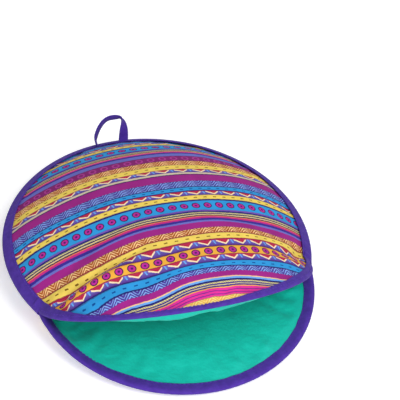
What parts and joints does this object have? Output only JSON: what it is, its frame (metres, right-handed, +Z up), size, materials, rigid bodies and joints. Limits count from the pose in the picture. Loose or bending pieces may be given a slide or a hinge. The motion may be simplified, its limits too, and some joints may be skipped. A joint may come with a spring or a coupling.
{
  "type": "tortilla warmer pouch",
  "caption": "Round quilted cloth pouch that keeps tortillas warm, with a printed padded cover, a plain lining, a bound rim, a mouth standing open at the front and a hanging loop at the back.",
  "frame": {"origin": "middle of the flat underside, on the table, below the centre of the closed round pouch", "axes": "+Z up, -Y out of the mouth, +Y to the hanging loop, +X to the right for someone looking into the mouth"},
  "size_m": [0.284, 0.3255, 0.0754],
  "materials": {
    "printed_cover": "woven cotton print, matte",
    "plain_lining": "plain teal cotton, matte",
    "padding": "white polyester wadding",
    "binding_tape": "purple bias tape, matte",
    "loop_tape": "purple bias tape, matte"
  },
  "bodies": {
    "pouch": {"upper_lining_rear": "plain_lining", "upper_batting_rear": "padding", "upper_cover_rear": "printed_cover", "lower_lining": "plain_lining", "lower_batting": "padding", "lower_cover": "printed_cover", "rear_binding": "binding_tape", "lower_lip_binding": "binding_tape"},
    "flap": {"upper_lining_front": "plain_lining", "upper_batting_front": "padding", "upper_cover_front": "printed_cover", "upper_lip_binding": "binding_tape", "upper_lining_fold": "plain_lining", "upper_batting_fold": "padding", "upper_cover_fold": "printed_cover", "corner_binding_left": "binding_tape", "corner_binding_right": "binding_tape"},
    "loop": {"hanging_loop": "loop_tape", "hanging_loop_feet": "loop_tape"}
  },
  "joints": [
    {"name": "flap_fold", "type": "hinge", "parent": "pouch", "child": "flap", "pos_m": [0, -0.059, 0.021], "axis": [-1, 0, 0], "range_deg": [-25, 20], "deforming": ["upper_lining_fold", "upper_batting_fold", "upper_cover_fold", "corner_binding_left", "corner_binding_right"]},
    {"name": "loop_tip", "type": "hinge", "parent": "pouch", "child": "loop", "pos_m": [0, 0.137, 0.043], "axis": [1, 0, 0], "range_deg": [-45, 45], "deforming": ["hanging_loop_feet"]}
  ]
}
